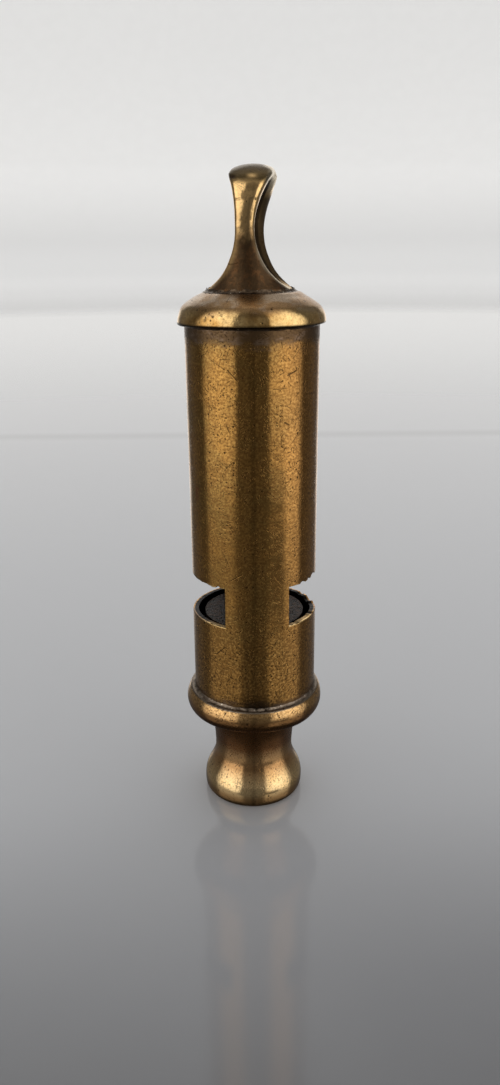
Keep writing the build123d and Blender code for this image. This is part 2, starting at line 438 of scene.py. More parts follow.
def tube_brass():
    made, g = material("aged_tube_brass")
    here = Place(g)
    flat = here.wrapped(g)
    # Deep pits crowd low down, most of all at the right, and in one spot further up at the left.
    pitted = g.most(
        here.patch(g, 33, 19.5, 24, 3.6),
        here.patch(g, -22, 40.0, 10, 3.0),
        g.times(g.step(here.z, 27.0, 24.0), 0.6),
    )
    busy = g.blend(g.step(here.z, 34.0, 25.0), 1.0, 1.5)
    wear = Wear(g, flat, here.point, extra=g.times(pitted, 0.8), busy=busy)
    colour = g.mix(g.step(wear.blotch, 0.38, 0.66), GOLD, OLIVE)
    colour = g.mix(g.times(g.step(here.angle, 0.1, 0.8), 0.7), colour, RED_GOLD)
    # Duller towards the collar, and one small red stain.
    low = g.times(g.step(g.add(here.z, g.times(wear.blotch, 8.0)), 34.0, 22.0), 0.7)
    colour = g.mix(low, colour, DULL_GOLD)
    colour = g.mix(g.times(wear.patchy, 0.40), colour, BROWN)
    colour = g.mix(g.times(wear.speckle, 0.85), colour, BROWN)
    rubbed_low = g.blend(g.step(here.z, 34.0, 27.0), 0.35, 0.75)
    colour = g.mix(g.times(g.step(wear.grain, 0.47, 0.36), rubbed_low), colour, FLECK)
    stain = g.times(here.patch(g, -58, 44.0, 5, 1.6), g.step(g.noise(flat, 1.1, 3.0), 0.42, 0.55))
    colour = g.mix(g.times(stain, 0.9), colour, RED_STAIN)
    # Dark tarnish under the cap's rim and above the collar, where no cloth reaches; at the front of the
    # collar's joint, painted shade.
    streak = g.noise(g.stretch(flat, (0.5, 0.9, 1)), 0.7, 4.0, 0.65)
    under_cap = g.step(g.add(here.z, g.times(streak, 3.0)), CAP_UNDER - 1.1, CAP_UNDER + 0.3)
    at_collar = g.step(g.add(here.z, g.times(streak, -2.4)), COLLAR_TOP + 0.3, COLLAR_TOP - 1.0)
    # Painted shade: a dark patch at the front of the collar's joint.
    front_joint_shade = g.times(here.patch(g, 3, COLLAR_TOP, 34, 3.0), g.step(streak, 0.25, 0.50))
    grime = g.most(under_cap, at_collar)
    stale = g.mix(g.step(streak, 0.48, 0.64), UMBER, FADED)
    colour = g.mix(g.times(grime, 0.9), colour, stale)
    colour = g.mix(front_joint_shade, colour, DARK)
    nicks = g.most(*(g.line(flat, start, end, width) for start, end, width in SCRATCHES))
    colour = g.mix(g.most(wear.marks, g.times(nicks, 0.8)), colour, PIT)
    # Window edges: darker away from the front; at the front window's edges, rubbed metal with a painted
    # highlight along them.
    edge = g.stored("edge")
    front = g.step(g.add(here.y, g.times(g.step(here.x, -1.0, 1.0), -2.5)), -3.6, -6.5)
    colour = g.mix(g.times(g.step(edge, 0.3, 0.9), g.less(front), 0.75), colour, UMBER)
    rubbed_and_highlight = g.times(g.step(g.add(edge, g.times(wear.grain, 0.7)), 0.95, 1.25), front)
    colour = g.mix(g.times(rubbed_and_highlight, 0.85), colour, BRIGHT)
    # Painted shade: the tube's inner wall is painted near black, less where the front edges are bright.
    inner = g.step(here.radius, TUBE_R - 0.10, TUBE_R - 0.25)
    colour = g.mix(g.times(inner, g.less(g.times(rubbed_and_highlight, 0.7))), colour, INSIDE_SHADE)
    roughness = g.add(
        0.10,
        g.times(wear.speckle, 0.08),
        g.times(grime, 0.22),
        g.times(inner, 0.35),
        g.times(wear.marks, 0.2),
    )
    drawn = g.noise(g.stretch(flat, (2.4, 0.10, 1)), 1.0, 3.0, 0.6)
    relief = g.add(wear.relief, g.times(nicks, -0.02), g.times(wear.blotch, 0.05), g.times(drawn, 0.006))
    shade(g, colour, roughness, relief)
    return made


def cap_brass():
    made, g = material("aged_cap_brass")
    here = Place(g)
    along = g.stored("along")
    flat = here.wrapped(g, along)
    pitted = here.patch(g, -31, CAP_UNDER + 1.2, 20, 1.6)
    wear = Wear(g, flat, here.point, 0.35, extra=pitted, busy=0.35)
    colour = g.mix(g.step(wear.blotch, 0.42, 0.70), BRIGHT, GOLD)
    colour = g.mix(g.times(wear.speckle, 0.3), colour, BROWN)
    # The dome keeps its brown patina, the rim is rubbed clean.
    dome = g.step(g.add(here.z, g.times(wear.blotch, 1.4)), CAP_UNDER + 1.75, CAP_UNDER + 2.9)
    cloud = g.step(g.noise(g.stretch(here.point, (1, 1, 2)), 0.35, 3.0), 0.40, 0.58)
    patina = g.mix(cloud, DOME_PALE, DOME_BROWN)
    colour = g.mix(g.times(dome, 0.92), colour, patina)
    colour = g.mix(g.times(dome, wear.speckle, 0.2), colour, UMBER)
    # Painted shade along the underside of the rim.
    under = g.step(here.z, CAP_UNDER + 0.35, CAP_UNDER + 0.05)
    colour = g.mix(under, colour, DARK)
    colour = g.mix(wear.marks, colour, PIT)
    roughness = g.add(0.07, g.times(wear.speckle, 0.05), g.times(dome, 0.20), g.times(under, 0.2))
    shade(g, colour, roughness, g.add(wear.relief, g.times(wear.blotch, 0.05)))
    return made


def loop_brass():
    made, g = material("aged_loop_brass")
    here = Place(g)
    flat = g.vector(g.add(here.x, here.y), here.z, 0.0)
    wear = Wear(g, flat, here.point, 0.3, busy=0.4)
    colour = g.mix(g.step(wear.blotch, 0.54, 0.86), POLISHED, GOLD)
    colour = g.mix(g.times(wear.speckle, 0.15), colour, BROWN)
    uneven = g.add(g.times(wear.blotch, 3.0), g.times(g.noise(here.point, 0.9, 4.0, 0.65), 1.6))
    crown = g.step(g.add(here.z, g.times(wear.blotch, 1.6)), LOOP_TOP - 1.65, LOOP_TOP - 0.95)
    # Painted highlight: a small spot on the crown's front where the patina is left off.
    highlight_spot = g.times(g.bell(here.x, 0.1, 0.8), g.bell(here.z, LOOP_TOP - 1.65, 0.4), g.step(here.y, 0, -1))
    colour = g.mix(g.times(crown, g.less(g.times(highlight_spot, 0.7)), 0.95), colour, CROWN_PATINA)
    # The casting's front keeps its dark patina low down; only the eye's edge is rubbed there.
    stem = g.step(g.add(here.z, uneven), LOOP_SEAT + 9.9, LOOP_SEAT + 7.7)
    eye_edge = g.stored("eye_edge")
    crust = g.noise(here.point, 1.1, 5.0, 0.7)
    patina = g.mix(g.step(crust, 0.46, 0.66), SOOT, STEM_CRUST)
    colour = g.mix(g.times(stem, g.less(eye_edge), 0.96), colour, patina)
    rim = g.stored("eye_rim_reflection")
    # Painted reflection: pale metal along the eye's edge, with painted highlights on the crown's cheek and
    # the foot's side.
    colour = g.mix(g.times(rim, 0.8), colour, PAINTED_REFLECTION)
    # Painted shade: the eye's inner walls and the back of the right face are painted dark.
    inside = g.stored("inside")
    colour = g.mix(g.times(inside, 0.97), colour, DARK)
    pit = g.times(g.bell(here.x, -2.0, 0.5), g.bell(here.z, LOOP_TOP - 1.7, 0.45), g.step(here.y, 0, -1))
    colour = g.mix(g.most(wear.marks, pit), colour, PIT)
    roughness = g.add(
        0.13, g.times(wear.speckle, 0.06), g.times(stem, 0.30), g.times(crown, 0.12),
        g.times(inside, 0.4), g.times(rim, -0.04),
    )
    relief = g.add(wear.relief, g.times(wear.blotch, 0.08), g.times(pit, -0.05), g.times(crust, stem, 0.07))
    shade(g, colour, roughness, relief)
    return made


def mouth_brass():
    made, g = material("aged_mouthpiece_brass")
    here = Place(g)
    along = g.stored("along")
    flat = here.wrapped(g, along)
    bead = g.step(here.z, NECK_TOP, NECK_TOP + 0.4)
    wear = Wear(g, flat, here.point, 0.5, extra=g.times(bead, 0.25), busy=g.blend(bead, 0.8, 1.7))
    colour = g.mix(g.step(wear.blotch, 0.50, 0.78), BULB_GOLD, POLISHED)
    colour = g.mix(g.times(bead, 0.8), colour, BEAD_GOLD)
    colour = g.mix(g.times(wear.speckle, g.blend(bead, 0.3, 0.65)), colour, BROWN)
    # Painted shade: the bead's lower, downward-facing half is painted darker brown.
    bead_underside_shade = g.times(bead, g.step(g.add(here.z, g.times(wear.grain, 1.1)), 15.8, 14.8))
    colour = g.mix(g.times(bead_underside_shade, 0.82), colour, BEAD_SHADE_BROWN)
    # Brown in the neck and under the bead, which fingers don't rub.
    shaken = g.add(here.z, g.times(wear.grain, 1.2))
    neck = g.times(g.step(shaken, 5.6, 9.0), g.step(shaken, NECK_TOP + 2.4, NECK_TOP + 1.6))
    colour = g.mix(g.times(neck, 0.96), colour, NECK_BROWN)
    # Painted shade: the bulb's bottom is painted dark brown, which also softens the lower edge of its
    # highlights.
    bulb_bottom_shade = g.step(g.add(here.z, g.times(wear.grain, 1.6)), 3.2, 1.9)
    colour = g.mix(g.times(bulb_bottom_shade, 0.8), colour, BULB_SHADE_BROWN)
    flank = g.times(g.step(here.z, 2.8, 5.6), g.less(neck), g.less(bead))
    colour = g.mix(g.times(flank, 0.75), colour, RUST)
    ledge = g.step(here.z, COLLAR_TOP - 0.25, COLLAR_TOP - 0.08)
    colour = g.mix(ledge, colour, LEDGE_GREY)
    colour = g.mix(wear.marks, colour, PIT)
    # Painted shade inside the bore.
    bore = g.step(here.radius, 3.4, 3.1)
    colour = g.mix(bore, colour, DARK)
    roughness = g.add(0.10, g.times(wear.speckle, 0.08), g.times(neck, 0.14), g.times(ledge, 0.2))
    shade(g, colour, roughness, wear.relief)
    return made


def solder_metal():
    made, g = material("old_solder")
    here = Place(g)
    flat = here.wrapped(g)
    lumps = g.noise(here.point, 1.4, 4.0, 0.65)
    specks = g.pits(flat, 0.5, 0.11, 0.3)
    colour = g.mix(g.step(lumps, 0.35, 0.65), SOLDER_DARK, SOLDER_PALE)
    # The seam round the loop's foot has taken the colour of the dome.
    colour = g.mix(g.times(g.step(here.z, 50.0, 60.0), 0.85), colour, SOLDER_BROWN)
    colour = g.mix(specks, colour, SOLDER_BRIGHT)
    # Painted shade: the same dark patch at the front of the collar's joint as on the tube.
    front_joint_shade = g.times(here.patch(g, 3, COLLAR_TOP, 34, 3.0), g.step(lumps, 0.62, 0.40))
    colour = g.mix(front_joint_shade, colour, DARK)
    shade(g, colour, g.add(0.22, g.times(lumps, 0.25)), g.times(lumps, 0.08))
    return made


def plug_metal():
    made, g = material("tarnished_plug")
    here = Place(g)
    crust = g.noise(g.stretch(here.point, (0.8, 1.3, 0.3)), 1.5, 5.0, 0.75, 1.0)
    colour = g.mix(g.step(crust, 0.46, 0.60), PLUG_BLACK, PLUG_BROWN)
    shade(g, colour, g.add(0.30, g.times(crust, 0.2)), g.times(crust, 0.8), metallic=0.96)
    return made


def inner_metal():
    made, g = material("tarnished_inner_brass")
    here = Place(g)
    cloud = g.noise(here.point, 0.9, 5.0, 0.65)
    colour = g.mix(g.step(cloud, 0.35, 0.65), INSIDE_DARK, INSIDE_DULL)
    shade(g, colour, g.add(0.4, g.times(cloud, 0.2)), g.times(cloud, 0.1), metallic=0.9)
    return made


brass_tube = tube_brass()
brass_cap = cap_brass()
brass_loop = loop_brass()
brass_mouth = mouth_brass()
solder = solder_metal()

# ------------ body tube
# A shell on a grid of angles and heights whose lines follow the edges of both windows.
ROUND_STEP = math.radians(1.6)
WINDOW_EDGES = [
    middle + BRIDGE_TURN + side * BRIDGE_HALF
    for middle, side in ((-math.pi / 2, 1), (math.pi / 2, -1), (math.pi / 2, 1), (3 * math.pi / 2, -1))
]
# Chips in the windows' edges: degrees from the front, half width in degrees, and depth.
LIP_CHIPS = ((49, 3.5, 0.22), (59, 2.5, 0.30), (69, 6.5, 0.34), (-34, 2.5, 0.20))
SILL_CHIPS = ((70, 3.0, 0.12), (98, 3.5, 0.14), (109, 6.5, 0.30), (124, 3.0, 0.15))
LIP_BURR = -40.0
SILL_DROOP = 0.23
DENT = 0.017
SMALL_DENT = 0.004


def graded(marks, steps):
    """Values from the first mark to the last, with its own step between each two."""
    values = [marks[0]]
    for a, b, step in zip(marks, marks[1:], steps):
        count = max(1, round((b - a) / step))
        values += [a + (b - a) * i / count for i in range(1, count + 1)]
    return np.array(values)


def tube_shell():
    angles = graded(WINDOW_EDGES + [WINDOW_EDGES[0] + 2 * math.pi], [ROUND_STEP] * 4)[:-1]
    heights = graded([tube_low.z, SILL - 1.0, SILL, LIP, LIP + 1.0, CAP_UNDER], [0.42, 0.1, 0.2, 0.1, 0.42])
    columns, rows = len(angles), len(heights)
    grid_a, grid_z = np.meshgrid(angles, heights, indexing="ij")
    flat_a, flat_z = grid_a.ravel(), grid_z.ravel()
    # Ragged edges: nicks in the right lip, a worn right sill, a small burr on the left lip.
    ring = round_points(TUBE_R, flat_a, flat_z * 0)
    fine = wave_noise(ring, 0.7, 3, 4)
    coarse = wave_noise(ring, 2.4, 5, 2)
    right = smooth(0.35, 0.7, np.cos(flat_a))
    from_front = np.degrees(np.arctan2(np.cos(flat_a), -np.sin(flat_a)))
    lip_rise = 0.05 * fine + 0.04 * coarse
    for degrees, width, rise in LIP_CHIPS:
        lip_rise += rise * smooth(1.0, 0.55, np.abs(from_front - degrees) / width)
    lip_rise -= 0.12 * bump_at(from_front, LIP_BURR, 3.0)
    sill_drop = 0.02 * fine + 0.05 * right * np.maximum(fine + 0.1, 0)
    sill_drop += SILL_DROOP * smooth(70, 100, np.abs(from_front))
    for degrees, width, drop in SILL_CHIPS:
        sill_drop += drop * smooth(1.0, 0.5, np.abs(from_front - degrees) / width)
    near_lip = smooth(LIP + 1.0, LIP, flat_z) * (flat_z >= LIP - 1e-6)
    near_sill = smooth(SILL - 1.0, SILL, flat_z) * (flat_z <= SILL + 1e-6)
    moved_z = flat_z + lip_rise * near_lip - sill_drop * near_sill
    # Slight dents and ovality, which make the reflections waver.
    skin_points = round_points(TUBE_R, flat_a, flat_z)
    dent = DENT * wave_noise(skin_points, 9.0, 11, 2) + SMALL_DENT * wave_noise(skin_points, 2.5, 12, 2)
    r = TUBE_R + dent - 0.014 + 0.05 * smooth(LIP, SILL - 2, flat_z)
    outer = round_points(r, flat_a, moved_z)
    verts = np.concatenate([outer, round_points(TUBE_R - WALL, flat_a, moved_z)])
    index = np.arange(columns * rows).reshape(columns, rows)
    skip = columns * rows

    middle_a = grid_a + 0.5 * (np.roll(grid_a, -1, 0) - grid_a)
    middle_a[-1] = grid_a[-1] + 0.5 * (angles[0] + 2 * math.pi - angles[-1])
    from_bridge = np.abs((middle_a - BRIDGE_TURN) % math.pi - math.pi / 2)
    middle_z = (heights[:-1] + heights[1:]) / 2
    open_cell = (from_bridge[:, :-1] > BRIDGE_HALF) & (middle_z > SILL) & (middle_z < LIP)
    solid = ~open_cell
    faces = []
    for i in range(columns):
        j = (i + 1) % columns
        for k in range(rows - 1):
            if not solid[i, k]:
                continue
            a, b, c, d = index[i, k], index[j, k], index[j, k + 1], index[i, k + 1]
            faces.append((a, b, c, d))
            faces.append((skip + d, skip + c, skip + b, skip + a))
            if k == 0 or not solid[i, k - 1]:
                faces.append((skip + a, skip + b, b, a))
            if k == rows - 2 or not solid[i, k + 1]:
                faces.append((d, c, skip + c, skip + d))
            if not solid[i - 1, k]:
                faces.append((a, d, skip + d, skip + a))
            if not solid[j, k]:
                faces.append((skip + b, skip + c, c, b))
    used = sorted({v for f in faces for v in f})
    renumber = {v: n for n, v in enumerate(used)}
    faces = [tuple(renumber[v] for v in f) for f in faces]
    verts = verts[used]
    piece = finish_piece("drawn_tube", verts, faces, "body_tube", brass_tube)
    # How near each point is to a window's edge, for the rubbed metal and painted highlight there.
    x, y, z = verts.T
    off_bridge = np.abs((np.arctan2(y, x) - BRIDGE_TURN) % math.pi - math.pi / 2)
    sideways = np.abs(off_bridge - BRIDGE_HALF) * TUBE_R
    in_window = off_bridge >= BRIDGE_HALF - 0.02
    up = np.minimum(np.abs(z - SILL), np.abs(z - LIP))
    beside = np.where((z > SILL - 0.2) & (z < LIP + 0.2), sideways, 9.0)
    away = np.minimum(np.where(in_window, up, 9.0), beside + 0.12)
    store(piece, "edge", np.clip(1 - away / 0.35, 0, 1))
    bevel = piece.modifiers.new("soft_edges", "BEVEL")
    bevel.width = 0.05 * MM
    bevel.segments = 2
    bevel.limit_method = "ANGLE"
    bevel.angle_limit = math.radians(50)
    return piece


tube_shell()

# ------------ mouthpiece
SPIGOT_R = TUBE_R - WALL - FIT_GAP
BULB_R = 6.74
BULB_Z = 1.6
BULB_CURVE = 4.025
NECK_R = 5.33
NECK_Z = 7.2
NECK_CURVE = 7.8
NECK_FLARE = 15.0
BEAD_R = mouth_high.x
BEAD_Z = 14.3
BEAD_LOW = 1.65
BEAD_HIGH = 3.14
LEDGE_R = 8.6
BORE_R = 3.0
PLENUM_R = 6.3
PLENUM_Z = 14.2
BORE_TOP = 10.9
SEAT_R = TUBE_R + FIT_GAP
MOUTH_ROUND = 0.65
MOUTH_RISE = 0.85

bulb_turn = math.degrees(math.atan2(NECK_Z - BULB_Z, NECK_R + NECK_CURVE - BULB_R + BULB_CURVE))
flare_turn = math.degrees(math.asin((BEAD_Z - BEAD_LOW - NECK_Z) / NECK_FLARE))
flare_end = NECK_R + NECK_FLARE * (1 - math.cos(math.radians(flare_turn)))
ledge_turn = math.degrees(math.asin((COLLAR_TOP - BEAD_Z) / BEAD_HIGH))

mouth_outline = outline(
    arc((BULB_R - MOUTH_ROUND, MOUTH_RISE), MOUTH_ROUND, -90, 0, rise=MOUTH_RISE),
    arc((BULB_R - BULB_CURVE, BULB_Z), BULB_CURVE, 0, bulb_turn),
    arc((NECK_R + NECK_CURVE, NECK_Z), NECK_CURVE, 180 + bulb_turn, 180),
    arc((NECK_R + NECK_FLARE, NECK_Z), NECK_FLARE, 180, 180 - flare_turn),
    run((flare_end, BEAD_Z - BEAD_LOW), (BEAD_R - BEAD_LOW, BEAD_Z - BEAD_LOW)),
    arc((BEAD_R - BEAD_LOW, BEAD_Z), BEAD_LOW, -90, 0),
    arc((BEAD_R - BEAD_HIGH, BEAD_Z), BEAD_HIGH, 0, ledge_turn),
    run((LEDGE_R, COLLAR_TOP), (SEAT_R, COLLAR_TOP)),
    run((SEAT_R, COLLAR_TOP), (SEAT_R, tube_low.z), step=0.5),
    run((SEAT_R, tube_low.z), (SPIGOT_R, tube_low.z), step=0.3),
    run((SPIGOT_R, tube_low.z), (SPIGOT_R, mouth_high.z), step=1.0),
    run((SPIGOT_R, mouth_high.z), (PLENUM_R, mouth_high.z), step=0.3),
    run((PLENUM_R, mouth_high.z), (PLENUM_R, PLENUM_Z), step=1.0),
    run((PLENUM_R, PLENUM_Z), (BORE_R, BORE_TOP), step=1.0),
    run((BORE_R, BORE_TOP), (BORE_R, 0.3), step=0.8),
    run((BORE_R, 0.3), (BORE_R + 0.3, 0.0)),
    run((BORE_R + 0.3, 0.0), (BULB_R - MOUTH_ROUND, 0.0), step=0.3),
)


def mouth_shape(angle, r, z):
    outer = smooth(NECK_R - 1.2, NECK_R - 0.6, r) * smooth(COLLAR_TOP + 0.1, COLLAR_TOP - 0.3, z)
    points = round_points(r, angle, z)
    wobble = 0.02 * wave_noise(points, 5.0, 21, 2) + 0.008 * wave_noise(points, 1.6, 22, 2)
    # A nick at the left of the mouth's rim.
    nick = 0.22 * bump_at(angle, math.radians(-124), 0.09) * bump_at(z, 0.5, 0.6)
    lean = -(0.08 + 0.22 * (COLLAR_TOP - z) / COLLAR_TOP) * smooth(COLLAR_TOP, COLLAR_TOP - 1.5, z)
    # The bead was turned a little askew: lower and thicker at the right.
    under = bump_at(z, BEAD_Z - BEAD_LOW, 1.6) * smooth(NECK_R - 0.2, BEAD_R - 1.0, r)
    over = smooth(LEDGE_R - 0.5, BEAD_R - 0.3, r) * smooth(BEAD_Z, BEAD_Z + 1.5, z)
    sag = under * (0.10 + 0.17 * np.cos(angle) ** 2 + 0.07 * np.cos(angle))
    sag += over * 0.16 * np.maximum(np.cos(angle), 0)
    slim = 0.10 * bump_at(z, 5.6, 1.3)
    return r + outer * (wobble - nick - 0.02 - slim), z - sag, lean


turned("turned_mouthpiece", mouth_outline, 288, mouth_shape, "mouthpiece", brass_mouth)

# ------------ end cap
RIM_R = cap_high.x
RIM_EDGE = 0.4
SHOULDER_R = 8.0
SHOULDER_RISE = 2.1
SEAT_FLAT_R = 5.5
TAIL_R = 1.53
RIVET_R = 2.33
COUNTERSINK = 0.8
cap_outline = outline(
    between((RIM_R - 0.04, CAP_UNDER), (RIM_R, CAP_UNDER + RIM_EDGE), 0.6, step=0.1),
    between((RIM_R, CAP_UNDER + RIM_EDGE), (SHOULDER_R, CAP_UNDER + SHOULDER_RISE), 2.8, step=0.12),
    between((SHOULDER_R, CAP_UNDER + SHOULDER_RISE), (SEAT_FLAT_R, LOOP_SEAT), 9.0, step=0.12),
    run((SEAT_FLAT_R, LOOP_SEAT), (TAIL_R, LOOP_SEAT), step=0.3),
    run((TAIL_R, LOOP_SEAT), (TAIL_R, cap_low.z + COUNTERSINK), step=1.0),
    run((TAIL_R, cap_low.z + COUNTERSINK), (RIVET_R, cap_low.z), step=0.6),
    run((RIVET_R, cap_low.z), (SPIGOT_R, cap_low.z), step=1.0),
    run((SPIGOT_R, cap_low.z), (SPIGOT_R, CAP_UNDER), step=0.8),
    run((SPIGOT_R, CAP_UNDER), (RIM_R - 0.04, CAP_UNDER), step=0.2),
)


def cap_shape(angle, r, z):
    outer = smooth(5.6, 6.4, r) * smooth(CAP_UNDER - 0.05, CAP_UNDER + 0.1, z)
    points = round_points(r, angle, z)
    wobble = 0.025 * wave_noise(points, 5.0, 31, 2) + 0.010 * wave_noise(points, 1.4, 32, 2)
    # Dome and rim are a little uneven: fuller at the left.
    lower = 0.10 * smooth(0.2, 1.0, np.cos(angle)) * smooth(5.6, 6.6, r) * smooth(RIM_R, 8.2, r)
    shift = -0.05 * outer
    drop = lower * smooth(CAP_UNDER + 0.5, CAP_UNDER + 1.5, z)
    drop += 0.18 * smooth(0.6, 1.0, -np.cos(angle)) * smooth(TUBE_R + 0.3, RIM_R - 0.2, r)
    return r + outer * (wobble - 0.03), z - drop, shift


turned("domed_cap", cap_outline, 320, cap_shape, "end_cap", brass_cap)


# ------------ suspension loop
def skin(field, low, high, step):
    """Vertices and faces of the surface where field(x, y, z) is 0, inside being below 0."""
    axes = [np.arange(a, b + step, step) for a, b in zip(low, high)]
    grid = np.meshgrid(*axes, indexing="ij")
    value = field(*grid)
    inside = value < 0
    cells = tuple(n - 1 for n in value.shape)
    total = np.zeros(cells + (3,))
    count = np.zeros(cells)
    crossings = []
    for axis in range(3):
        first, second = [slice(None)] * 3, [slice(None)] * 3
        first[axis] = slice(None, -1)
        second[axis] = slice(1, None)
        first, second = tuple(first), tuple(second)
        cross = inside[first] != inside[second]
        crossings.append(cross)
        share = np.where(cross, value[first] / (value[first] - value[second] + 1e-12), 0.0)
        point = np.stack([g[first] for g in grid], axis=-1)
        point[..., axis] += share * step
        others = [n for n in range(3) if n != axis]
        for da in (0, 1):
            for db in (0, 1):
                part = [slice(None)] * 3
                part[others[0]] = slice(da, cells[others[0]] + da)
                part[others[1]] = slice(db, cells[others[1]] + db)
                part = tuple(part)
                total += np.where(cross[part][..., None], point[part], 0.0)
                count += cross[part]
    active = count > 0
    number = np.full(cells, -1)
    number[active] = np.arange(active.sum())
    verts = total[active] / count[active][:, None]
    for _ in range(4):
        here = field(*verts.T)
        slopes = [field(*(verts + d).T) - field(*(verts - d).T) for d in np.eye(3) * step / 4]
        gradient = np.stack(slopes, axis=1) / (step / 2)
        size = np.maximum((gradient**2).sum(1), 0.05)
        verts = verts - 0.8 * gradient * (here / size)[:, None]
    faces = []
    for axis in range(3):
        u, v = [n for n in range(3) if n != axis]
        i = np.argwhere(crossings[axis])
        i = i[(i[:, u] > 0) & (i[:, v] > 0) & (i[:, u] < cells[u]) & (i[:, v] < cells[v])]
        du, dv = np.eye(3, dtype=int)[u], np.eye(3, dtype=int)[v]
        quad = np.stack([number[tuple((i - s).T)] for s in (du + dv, dv, 0 * du, du)], axis=1)
        outwards = inside[tuple(i.T)]
        if axis == 1:
            outwards = ~outwards
        quad[~outwards] = quad[~outwards][:, ::-1]
        faces += quad.tolist()
    return verts, faces


def round_max(a, b, radius):
    """The larger of two distances, with the edge where they meet rounded."""
    h = np.maximum(radius - np.abs(a - b), 0) / radius
    return np.maximum(a, b) + h * h * radius * 0.25


CROWN_R = 5.0
CROWN_RISE = 3.8
CROWN_Z = LOOP_TOP - 0.15 - CROWN_RISE * math.sin(math.radians(84))
STEM_R = 4.5
STEM_Z = 70.9
FOOT_R = loop_high.x
FOOT_EDGE = 0.35
WAIST_HALF = 1.1
WAIST_Z = 73.9
DISH_BELOW = 7.6
DISH_ABOVE = 11.0
CROWN_WIDEST = 79.2
EYE_HALF_WIDTH = 2.6
EYE_HALF_HEIGHT = 4.45
EYE_Z = 73.3
EYE_FLARE = 0.3
LOOP_ASIDE = -0.16


def hermite(t, p0, p1, m0, m1):
    return (
        (2 * t**3 - 3 * t**2 + 1) * p0
        + (t**3 - 2 * t**2 + t) * m0
        + (3 * t**2 - 2 * t**3) * p1
        + (t**3 - t**2) * m1
    )


def blank_radius(z):
    """Radius of the turned blank from the foot to where the crown's ellipse begins."""
    foot_z = LOOP_SEAT + FOOT_EDGE
    low = np.clip((z - foot_z) / (STEM_Z - foot_z), 0, 1)
    high = np.clip((z - STEM_Z) / (CROWN_Z - STEM_Z), 0, 1)
    below = hermite(low, FOOT_R, STEM_R, -0.6 * (STEM_Z - foot_z), -0.03 * (STEM_Z - foot_z))
    above = hermite(high, STEM_R, CROWN_R, -0.03 * (CROWN_Z - STEM_Z), 0.0)
    return np.where(z < STEM_Z, below, above)


def slab_half(z):
    """Half the distance between the two dished faces."""
    up = np.clip(z - WAIST_Z, 0, CROWN_WIDEST - WAIST_Z)
    down = np.clip(WAIST_Z - z, 0, DISH_BELOW * 0.985)
    return (
        WAIST_HALF
        + DISH_ABOVE - np.sqrt(DISH_ABOVE**2 - up**2)
        + DISH_BELOW - np.sqrt(DISH_BELOW**2 - down**2)
    )


def loop_sway(z):
    """Sideways shift of the casting, which leans a little."""
    return LOOP_ASIDE + 0.44 * smooth(73.5, 79.3, z)


def eye_reach(along, z):
    """Distance from the eye's centre, 1 at its edge."""
    return np.sqrt((along / EYE_HALF_WIDTH) ** 2 + ((z - EYE_Z) / EYE_HALF_HEIGHT) ** 2)


def loop_field(x, y, z):
    x = x - loop_sway(z)
    across = x * math.cos(LOOP_TURN) - y * math.sin(LOOP_TURN)
    along = x * math.sin(LOOP_TURN) + y * math.cos(LOOP_TURN)
    r = np.sqrt(x * x + y * y)
    # The casting's front and back are rounder than the blank between foot and crown.
    squeeze = 1 + 0.28 * smooth(66.5, 70.0, z) * smooth(79.0, 76.5, z)
    side = np.sqrt((across * squeeze) ** 2 + along * along) - blank_radius(z)
    crown = (np.sqrt((r / CROWN_R) ** 2 + ((z - CROWN_Z) / CROWN_RISE) ** 2) - 1) * CROWN_RISE
    blank = np.where(z > CROWN_Z, crown, side)
    slope = (slab_half(z + 0.05) - slab_half(z - 0.05)) / 0.1
    slab = (np.abs(across) - slab_half(z)) / np.sqrt(1 + slope**2)
    eye = eye_reach(along, z)
    hole = (1 - eye) * EYE_HALF_WIDTH + EYE_FLARE * smooth(0.3, 1.0, np.abs(across) / slab_half(z))
    edge = 0.25 + 0.35 * smooth(LOOP_SEAT + 0.6, LOOP_SEAT + 3.0, z) - 0.2 * smooth(77.5, 79.0, z)
    body = round_max(blank, slab, edge)
    body = round_max(body, hole, 1.5)
    return np.maximum(body, LOOP_SEAT + 0.01 - z)


